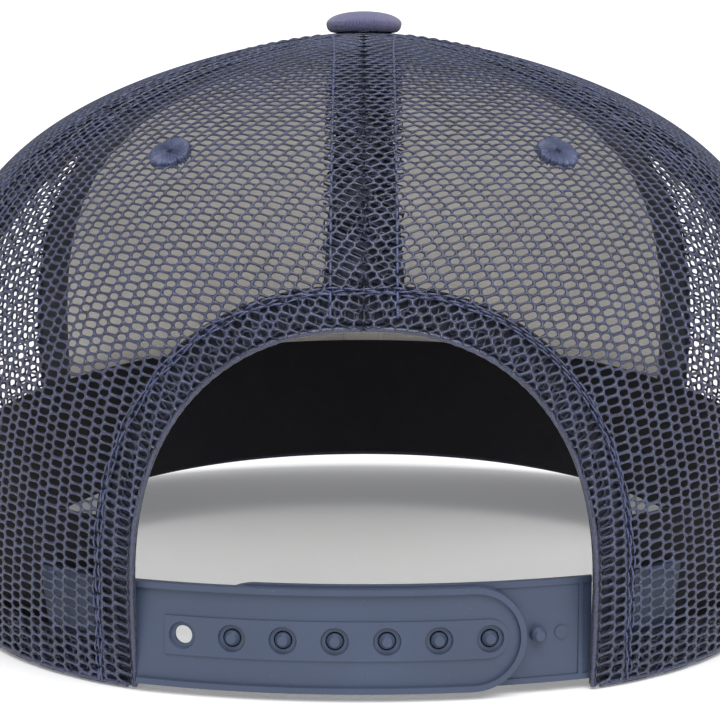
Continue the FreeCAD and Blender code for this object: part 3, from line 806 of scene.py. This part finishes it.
def woven_tape(name, nodes, centre, width, least_radius, foot, layer, slot, material, flip=False):
    """Flat tape along a seam, narrower in degrees where the crown is wide."""
    def edge(side):
        def angle_at(fraction):
            radius = np.maximum(look_up(RADII, centre(fraction), fraction * WOVEN_TAPE_LENGTH), least_radius)
            return centre(fraction) + np.degrees(side * width / 2 / radius)
        return angle_at
    cloth_layer(name, nodes, edge(-1), edge(1), foot, APEX_GAP, layer, slot, material, flip, 9, 120)


def mesh_tapes():
    layer = (BACKING_INSET, BACKING_INSET + 0.4)
    woven_tape("rear_centre_woven_tape", (), flat_angle(0.0), BACKING_WIDTH, 12.0, ARCH_TOP + 2.5, layer,
               "seam_tape", tape_twill)
    for side, flip in SIDES:
        woven_tape("rear_side_woven_tape_" + side, (), seam_line, BACKING_WIDTH, 12.0, 1.5, layer,
                   "seam_tape", tape_twill, flip)
    net_tape("rear_centre_net_tape", "rear_centre_tape", flat_angle(0.0), 62.0, 28.0, BINDING_WIDTH)
    for side, flip in SIDES:
        net_tape("rear_side_net_tape_" + side, "rear_side_tape_" + side, seam_line, 1.0, 22.0, flip=flip)


# ---- arch binding ----

def arch_outline(grow, count):
    """Arch edge from the foot at +X, over the top, to the foot at -X, as x and z."""
    half, rise = ARCH_HALF + grow, ARCH_RISE + grow
    turn = np.linspace(0, math.pi, 181)
    power = 2 / ARCH_POWER
    x = half * np.sign(np.cos(turn)) * np.abs(np.cos(turn)) ** power
    z = ARCH_SPRING + rise * np.abs(np.sin(turn)) ** power
    foot = np.linspace(0.5, ARCH_SPRING, 30)[:-1]
    x = np.concatenate([np.full(29, half), x, np.full(29, -half)])
    z = np.concatenate([foot, z, foot[::-1]])
    run = np.concatenate([[0], np.cumsum(np.hypot(np.diff(x), np.diff(z)))])
    even = np.linspace(0, run[-1], count)
    return np.interp(even, run, x), np.interp(even, run, z), run[-1]


def arch_line(grow, count):
    """Angles and lengths along a line a distance outside the arch edge."""
    x, z, total = arch_outline(grow, count)
    angle = np.degrees(np.arcsin(np.clip(x / 92.0, -0.9, 0.9)))
    return (*solve_xz(angle, z.copy(), x, z), total)


ARCH_SAMPLES = 400
ARCH_GROWS = np.linspace(0.0, BINDING_WIDTH, 9)
arch_lines = [arch_line(g, ARCH_SAMPLES) for g in ARCH_GROWS]
ARCH_ANGLES = np.array([line[0] for line in arch_lines])
ARCH_LENGTHS = np.array([line[1] for line in arch_lines])
ARCH_RUN = arch_line(BINDING_WIDTH / 2, 50)[2]
ARCH_FOLD_RADIUS = 0.55
ARCH_THREADS = (6.1, 6.55, 7.0)     # distances from the arch edge
ARCH_THREAD_WANDER = 0.22


def arch_place(p, q, clamp=True):
    """q runs along the arch from its +X foot, p outwards from its edge."""
    along = np.clip(q / ARCH_RUN, 0, 1) * (ARCH_SAMPLES - 1)
    out = np.clip(p / BINDING_WIDTH, 0, 1) * (len(ARCH_GROWS) - 1)
    if not clamp:
        return p, q
    i = np.minimum(np.floor(out).astype(int), len(ARCH_GROWS) - 2)
    j = np.minimum(np.floor(along).astype(int), ARCH_SAMPLES - 2)
    a, b = out - i, along - j

    def pick(table):
        low = table[i, j] * (1 - b) + table[i, j + 1] * b
        high = table[i + 1, j] * (1 - b) + table[i + 1, j + 1] * b
        return low * (1 - a) + high * a
    return pick(ARCH_ANGLES), pick(ARCH_LENGTHS)


def arch_binding():
    outlines, holes = net_cells(-2, BINDING_WIDTH + 2, -4, ARCH_RUN + 4)

    def inside(p, q):
        return (p > 0) & (p < BINDING_WIDTH) & (q > 0) & (q < ARCH_RUN)

    verts, quads = net_mesh(outlines, holes, arch_place, inside, TAPE_NET_INSET, TAPE_THINNESS)
    make_mesh("arch_binding_net", verts, quads, "mesh_tape", tape_yarn_painted_shade, ["arch_binding"])
    around = np.linspace(0, ARCH_RUN, ARCH_SAMPLES)
    backing("arch_woven_tape", ARCH_ANGLES, ARCH_LENGTHS, ARCH_GROWS[:, None], around)
    angle, length, _ = arch_line(0.15, 260)
    ripple = 0.05 * np.sin(np.arange(len(angle)) * 1.9)
    fold = tube(crown(angle, length, 0.85), ARCH_FOLD_RADIUS + ripple, sides=8)
    make_mesh("arch_edge_fold", *fold, "mesh_tape", tape_yarn_painted_shade)


def arch_stitching():
    parts = []
    for number, grow in enumerate(ARCH_THREADS):
        angle, length, total = arch_line(grow, 500)
        wander = ARCH_THREAD_WANDER * np.sin(np.linspace(0, total, 500) * 0.55 + 2.1 * number)
        angle = angle + np.degrees(wander / HALF_WIDTH)
        length = length + wander
        parts.append(stitch_row(crown(angle, length, -0.02), skin_normal(angle, length), 2.6, 0.4))
    make_mesh("arch_stitching", *join(parts), "mesh_tape", thread)


# ---- seam stitching ----

SEAM_THREAD_INSET = 0.14
SEAM_THREAD_LIFT = 0.07


def seam_rows(name, centre, offset, foot, top, slot, thread_radius=0.17, paired=True):
    """A row of stitches each side of a seam. paired also makes the mirror image on the right."""
    length = np.linspace(foot, top, 400)
    middle = centre(length / SEAM_LENGTH)
    radius = np.maximum(look_up(RADII, middle, length), 10.0)
    parts = []
    for distance in (-offset, offset):
        angle = middle + np.degrees(distance / radius)
        path, normals = crown(angle, length, SEAM_THREAD_INSET), skin_normal(angle, length)
        parts.append(stitch_row(path, normals, radius=thread_radius, lift=SEAM_THREAD_LIFT))
    rows = join(parts)
    if not paired:
        make_mesh(name, *rows, slot, thread)
        return
    for side, flip in SIDES:
        make_mesh(name + "_" + side, *rows, slot, thread, flip=flip)


def seam_stitching():
    seam_rows("rear_centre_stitching", flat_angle(0.0), 6.0, ARCH_TOP + 2.0, 176.0, "mesh_tape", 0.27, False)
    seam_rows("rear_side_stitching", seam_line, 6.0, 2.0, 174.0, "mesh_tape", 0.22)
    seam_rows("front_side_stitching", flat_angle(FRONT_SIDE_SEAM), 3.4, 2.0, 172.0, "seam_tape")
    seam_rows("front_centre_stitching", flat_angle(180.0), 3.4, 2.0, 166.0, "seam_tape", paired=False)


# ---- cloth panels

FRONT_CLOTH_LAYER = (0.12, 0.95)
BUCKRAM_LAYER = (1.05, 1.65)


def cloth_layer(name, nodes, start, end, foot, top_gap, layer, slot, material, flip, across, up, relief=None):
    """Cloth between two seams, in a layer given by its outer and inner insets. relief adds an
    outward height to its outer face."""
    fraction = np.linspace(0, 1, up)[:, None]
    part = np.linspace(0, 1, across)[None, :]
    angle = start(fraction) + part * (end(fraction) - start(fraction))
    length = foot + fraction * (cloth_length(angle) - top_gap - foot)
    extra = relief(angle, length) if relief else 0.0
    arc = np.radians(angle) * look_up(RADII, angle, length)
    cloth_shell(name, crown(angle, length, layer[0] - extra), crown(angle, length, layer[1]), arc, length,
                slot, material, nodes, flip)


def front_relief(angle, length):
    """The cloth sinks into its seams and under its rows of stitches, and puckers there."""
    radius = look_up(RADII, angle, length)
    from_side = np.abs(np.radians(angle - FRONT_SIDE_SEAM)) * radius
    from_middle = np.abs(np.radians(angle - 180.0)) * radius
    sink = 0.0
    for distance in (from_side, from_middle):
        sink = sink + 0.35 * np.exp(-(distance / 1.2) ** 2) + 0.064 * np.exp(-((distance - 3.4) / 1.3) ** 2)
    pucker = 0.05 * np.sin(length * 2.1) * np.exp(-(np.minimum(from_side, from_middle) / 3.0) ** 2)
    return FRONT_CLOTH_LAYER[0] - sink + pucker


def front_panels():
    for side, flip in SIDES:
        cloth_layer("front_cloth_" + side, ["front_panel_" + side], flat_angle(FRONT_SIDE_SEAM),
                    flat_angle(180.0), 0.3, APEX_GAP, FRONT_CLOTH_LAYER, "front_cloth", front_twill, flip,
                    90, 190, front_relief)
        cloth_layer("front_buckram_" + side, ["front_stiffener_" + side], flat_angle(FRONT_SIDE_SEAM + 0.6),
                    flat_angle(179.7), 1.5, APEX_GAP + 6, BUCKRAM_LAYER, "stiffener", buckram, flip, 40, 90)


def front_tapes():
    form = (FRONT_TAPE_WIDTH, 15.0, 1.5, FRONT_TAPE_LAYER)
    middle = flat_angle(180.0)
    for side, flip in SIDES:
        woven_tape("front_side_woven_tape_" + side, ["front_side_tape_" + side], flat_angle(FRONT_SIDE_SEAM),
                   *form, "seam_tape", tape_twill, flip)
    woven_tape("front_centre_woven_tape", ["front_centre_tape"], middle, *form, "stiffener", buckram)


# ---- sweatband ----

SWEATBAND_FOOT = 0.8
SWEATBAND_RADIUS = 84.0         # for the scale of its weave
SWEATBAND_HEIGHT = 30.6
SWEATBAND_ENDS = (31.0, 329.0)


def sweatband_inset(angle):
    turn = np.where(angle <= 180.0, angle, 360.0 - angle)
    over_tabs = 1.0 - ease(turn, 45.0, 62.0)
    over_foam = ease(turn, 110.0, 127.0)
    return 2.60 + over_tabs * 3.0 + over_foam * 1.55


def sweatband():
    angles = np.linspace(*SWEATBAND_ENDS, 420)[None, :]
    across = np.linspace(0, 1, 26)[:, None]
    length = SWEATBAND_FOOT + across * SWEATBAND_HEIGHT
    roll = 0.45 * np.exp(-((1 - across) / 0.05) ** 2) + 0.3 * np.exp(-(across / 0.06) ** 2)
    ripple = 0.22 * np.sin(angles * 0.9 + 3 * across) * ease(across, 0.3, 1.0)
    angle, length = np.broadcast_arrays(angles, length)
    base = sweatband_inset(angle)
    inner = crown(angle, length, base + 1.0 + roll + ripple)
    outer = crown(angle, length, base + 0.05)
    arc = np.radians(angle) * SWEATBAND_RADIUS
    band = cloth_shell("sweatband_cloth", outer, inner, arc, length, "sweatband", sweat_twill, ["sweatband"])


# ---- eyelets and button

REAR_EYELET = (30.5, 0.580)     # angle, and fraction of the cloth length
FRONT_EYELET = (151.8, 0.538)
EYELET_RADIUS = 4.05
EYELET_HOLE_RADIUS = 0.55


def eyelet(name, node, angle, fraction, flip):
    """Ring of satin stitches over a punched hole."""
    threads = 38
    around = threads * 8
    profile = np.linspace(0, math.pi, 15)
    turn = np.linspace(0, 2 * math.pi, around, endpoint=False)
    phase = np.cos(turn * threads)
    ragged = np.repeat(rng.uniform(-0.35, 0.15, threads), 8) + 0.16 * phase
    proud = np.repeat(rng.uniform(0.8, 1.15, threads), 8)
    outer = EYELET_RADIUS + ragged
    hole = EYELET_HOLE_RADIUS + np.repeat(rng.uniform(-0.1, 0.18, threads), 8)
    middle, reach = (outer + hole) / 2, (outer - hole) / 2
    radius = middle[None, :] + np.cos(profile)[:, None] * reach[None, :]
    height = 0.52 * np.sin(profile)[:, None] ** 0.6 * (proud * (1 + 0.24 * phase))[None, :]
    angle = np.array([angle])
    length = fraction * cloth_length(angle)
    centre, normal = skin(angle, length)[0], skin_normal(angle, length)[0]
    east = unit(np.cross([0, 0, 1.0], normal))
    north = np.cross(normal, east)
    spread = radius[..., None] * (np.cos(turn)[None, :, None] * east + np.sin(turn)[None, :, None] * north)
    front = centre + spread + (height - 0.1)[..., None] * normal
    back = centre + spread - (0.9 + height)[..., None] * normal
    verts = np.concatenate([front.reshape(-1, 3), back.reshape(-1, 3)])
    count = len(profile) * around
    top = grid_faces(len(profile), around, wrap=True)
    j = np.arange(around)
    k = np.roll(j, -1)
    last = count - around
    outer_rim = np.stack([j + count, k + count, k, j], -1)
    inner_rim = np.stack([last + j, last + k, last + k + count, last + j + count], -1)
    faces = np.concatenate([top, top[:, ::-1] + count, outer_rim, inner_rim])
    make_mesh(name, verts, faces, "embroidery", embroidery, [node], flip=flip)


def eyelets():
    for side, flip in SIDES:
        eyelet("rear_stitched_eyelet_" + side, "rear_eyelet_" + side, *REAR_EYELET, flip)
        eyelet("front_stitched_eyelet_" + side, "front_eyelet_" + side, *FRONT_EYELET, flip)


BUTTON_TUCK = 1.4
BUTTON_WAIST = 1.9
BUTTON_CLOTH = 0.85


def button_dome(name, node, radius, foot, waist, top, tuck, fold_height, slot, material):
    """Dome that narrows again below its waist, with folds gathered round its foot."""
    around = 180
    turn = np.linspace(0, 2 * math.pi, around, endpoint=False)[None, :]
    climb = np.concatenate([np.linspace(-1, 0, 12), np.linspace(0, 1, 34)[1:]])[:, None]
    over = np.clip(climb, 0, 1) * math.pi / 2
    under = np.clip(-climb, 0, 1) * math.pi / 2
    folds = np.sin(turn * 13 + 0.7) * 0.5 + np.sin(turn * 29 + 2.1) * 0.3 + np.sin(turn * 7) * 0.4
    gather = folds * fold_height * np.exp(-(np.clip(climb, 0, 1) / 0.25) ** 2)
    r = radius * np.cos(over) ** 0.9 + gather - tuck * (1 - np.cos(under))
    z = waist + (top - waist) * np.sin(over) - (waist - foot) * np.sin(under) + 0 * turn
    verts = np.stack([r * np.cos(turn), r * np.sin(turn), z], -1).reshape(-1, 3)
    faces = [tuple(f) for f in grid_faces(len(climb), around, wrap=True)]
    faces.append(tuple((len(climb) - 1) * around + j for j in range(around)))
    make_mesh(name, verts, faces, slot, material, [node], uv=verts[:, :2])


def button():
    """Cloth pulled over a steel shell and tucked under it, down to the crown."""
    low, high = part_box("button_cover")
    radius = (high.x - low.x) / 2 / MM - 0.15
    foot, top = low.z / MM - 0.25, high.z / MM - 0.03
    waist = foot + BUTTON_WAIST
    button_dome("button_cloth_cover", "button_cover", radius, foot, waist, top, BUTTON_TUCK, 0.14,
                "button_cloth", button_twill)
    inset = BUTTON_CLOTH + BUTTON_TUCK
    button_dome("button_steel_shell", "button_shell", radius - inset, foot + BUTTON_CLOTH, waist,
                top - BUTTON_CLOTH, 0.0, 0.0, "button_metal", button_steel)


# ---- visor

VISOR_ROOT = 119.0
VISOR_EDGE = ((80.5, -51.0, 7.4), (89.5, -72.0, 3.9), (90.0, -98.0, 2.4), (80.5, -126.0, 3.2),
              (59.0, -147.5, 6.7), (31.0, -158.5, 10.0), (0.0, -162.0, 11.4))


def smooth_line(points, count):
    """Natural cubic through points, at even steps of chord length."""
    points = np.asarray(points, float)
    knots = np.concatenate([[0], np.cumsum(np.linalg.norm(np.diff(points, axis=0), axis=1))])
    n = len(points)
    h = np.diff(knots)
    system = np.zeros((n, n))
    right = np.zeros((n, 3))
    system[0, 0] = system[-1, -1] = 1
    for i in range(1, n - 1):
        system[i, i - 1], system[i, i], system[i, i + 1] = h[i - 1], 2 * (h[i - 1] + h[i]), h[i]
        right[i] = 6 * ((points[i + 1] - points[i]) / h[i] - (points[i] - points[i - 1]) / h[i - 1])
    second = np.linalg.solve(system, right)
    at = np.linspace(0, knots[-1], count)
    k = np.clip(np.searchsorted(knots, at) - 1, 0, n - 2)
    a, b = (knots[k + 1] - at) / h[k], (at - knots[k]) / h[k]
    bend = (a ** 3 - a)[:, None] * second[k] + (b ** 3 - b)[:, None] * second[k + 1]
    return a[:, None] * points[k] + b[:, None] * points[k + 1] + bend * (h[k] ** 2)[:, None] / 6


def visor_grid(across, out):
    """Middle surface of the visor and its upward normals."""
    span = np.linspace(0, 1, across)
    angle = VISOR_ROOT + span * (360 - 2 * VISOR_ROOT)
    root = crown(angle, 4.0, -0.35)
    root[:, 2] = RIM_RISE * ((1 - np.cos(np.radians(angle))) / 2) ** 2 + 2.1
    points = list(VISOR_EDGE) + [(-x, y, z) for x, y, z in VISOR_EDGE[-2::-1]]
    edge = smooth_line(points, across)
    reach = np.linspace(0, 1, out)[None, :, None]
    grid = root[:, None, :] * (1 - reach) + edge[:, None, :] * reach
    normal = unit(np.cross(np.gradient(grid, axis=0), np.gradient(grid, axis=1)))
    return grid, normal * np.sign(normal[..., 2:3])


VISOR_ACROSS = 261
VISOR_OUT = 90
VISOR_ROWS = 7
VISOR_FIRST_ROW = 3.6
VISOR_ROW_PITCH = 6.4


def visor_covers():
    grid, normal = visor_grid(VISOR_ACROSS, VISOR_OUT)
    width = np.linalg.norm(grid[:, -1] - grid[:, 0], axis=1)[:, None]
    from_edge = (1 - np.linspace(0, 1, VISOR_OUT)[None, :]) * width
    groove = np.zeros_like(from_edge)
    for row in range(VISOR_ROWS):
        groove += np.exp(-((from_edge - VISOR_FIRST_ROW - row * VISOR_ROW_PITCH) / 0.8) ** 2)
    rounding = 0.75 * np.exp(-(from_edge / 1.1) ** 2)
    top = grid + normal * (1.72 - 0.22 * groove - rounding)[..., None]
    top_in = grid + normal * 0.86
    under = grid - normal * (1.70 - 0.18 * groove - rounding)[..., None]
    under_in = grid - normal * 0.86
    for side, upper, lower in (("top", top, top_in), ("under", under_in, under)):
        cloth_shell("visor_" + side + "_cloth", upper, lower, grid[..., 0], grid[..., 1], "front_cloth",
                    front_twill, ["visor_" + side + "_cover"])
    edge = grid[:, -1] - (grid[:, -1] - grid[:, -2]) * 0.9
    verts, faces = tube(edge, 0.98, sides=12)
    make_mesh("visor_edge_roll", verts, faces, "front_cloth", front_twill, ["visor_edge_seam"], verts[:, :2])


def visor_stitching():
    grid, normal = visor_grid(VISOR_ACROSS, VISOR_OUT)
    width = np.linalg.norm(grid[:, -1] - grid[:, 0], axis=1)
    for label, height, sign in (("visor_top_stitching", 1.52, 1), ("visor_under_stitching", 1.54, -1)):
        parts = []
        for row in range(VISOR_ROWS):
            distance = VISOR_FIRST_ROW + row * VISOR_ROW_PITCH
            keep = width > distance + 3.0
            reach = (1 - distance / width[keep]) * (VISOR_OUT - 1)
            low = np.floor(reach).astype(int)
            part = (reach - low)[:, None]
            who = np.nonzero(keep)[0]
            line = grid[who, low] * (1 - part) + grid[who, low + 1] * part
            up = normal[who, low] * sign
            parts.append(stitch_row(line + up * height, up, 2.4, 0.5, 0.16, 0.13))
        make_mesh(label, *join(parts), "front_cloth", visor_thread)


# ---- CAD pieces that stay

def finish_cad_pieces():
    finishes = {"holed_strap": strap_plastic, "pegged_strap": strap_plastic, "holed_strap_tab": strap_plastic,
                "pegged_strap_tab": strap_plastic, "button_rivet": button_steel,
                "button_back_plate": button_steel, "visor_board": board_plastic, "sweatband_foam": pad_foam}
    for node, material in finishes.items():
        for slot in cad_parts[node].material_slots:
            slot.material = material


# ---- stage, light, camera

FLOOR_HALF = 4.0
TABLE_GLOW = 0.18               # a light table under the cap


def stage():
    corners = [(x * FLOOR_HALF, y * FLOOR_HALF, 0) for x, y in ((-1, -1), (1, -1), (1, 1), (-1, 1))]
    mesh = bpy.data.meshes.new("floor")
    mesh.from_pydata(corners, [], [(0, 1, 2, 3)])
    floor = link_object("floor", mesh)
    t = Tree("floor_white")
    t.put(Base_Color=(0.92, 0.92, 0.92, 1), Roughness=0.6)
    t.put(Emission_Color=(1, 1, 1, 1), Emission_Strength=TABLE_GLOW)
    mesh.materials.append(t.material)


SURROUND_STRENGTH = 0.48
BACKDROP_STRENGTH = 1.3
KEY_DIRECTION = (-0.12, 0.62, 1.0)
KEY_STRENGTH = 2.65
KEY_SPREAD = 50.0


def lights():
    """A broad high key over the camera's shoulder, a weaker even surround and a white backdrop."""
    world = bpy.data.worlds.new("studio")
    world.use_nodes = True
    nodes, links = world.node_tree.nodes, world.node_tree.links
    surround = nodes["Background"]
    backdrop = nodes.new("ShaderNodeBackground")
    for shader, strength in ((surround, SURROUND_STRENGTH), (backdrop, BACKDROP_STRENGTH)):
        shader.inputs["Color"].default_value = (1, 1, 1, 1)
        shader.inputs["Strength"].default_value = strength
    path = nodes.new("ShaderNodeLightPath")
    mix = nodes.new("ShaderNodeMixShader")
    links.new(path.outputs["Is Camera Ray"], mix.inputs["Fac"])
    links.new(surround.outputs["Background"], mix.inputs[1])
    links.new(backdrop.outputs["Background"], mix.inputs[2])
    links.new(mix.outputs["Shader"], nodes["World Output"].inputs["Surface"])
    bpy.context.scene.world = world
    data = bpy.data.lights.new("key", "SUN")
    data.energy = KEY_STRENGTH
    data.angle = math.radians(KEY_SPREAD)
    link_object("key", data).rotation_euler = Vector(KEY_DIRECTION).to_track_quat("Z", "Y").to_euler()


CAMERA_DISTANCE = 0.4497
CAMERA_HEIGHT = 0.1057
CAMERA_PITCH = 6.766
CAMERA_LENS = 101.6


def camera():
    data = bpy.data.cameras.new("camera")
    data.lens = CAMERA_LENS
    data.sensor_width = 36.0
    data.shift_x = -0.0055
    data.clip_start = 0.01
    cam = link_object("camera", data)
    cam.location = (0.0, CAMERA_DISTANCE, CAMERA_HEIGHT)
    cam.rotation_euler = (math.radians(90.0 - CAMERA_PITCH), 0.0, math.radians(180.0))
    bpy.context.scene.camera = cam
    bpy.context.scene.view_settings.view_transform = "Standard"


camera()
lights()
stage()
mesh_panels()
mesh_tapes()
rim_hem()
arch_binding()
arch_stitching()
seam_stitching()
front_panels()
front_tapes()
sweatband()
eyelets()
button()
visor_covers()
visor_stitching()
finish_cad_pieces()
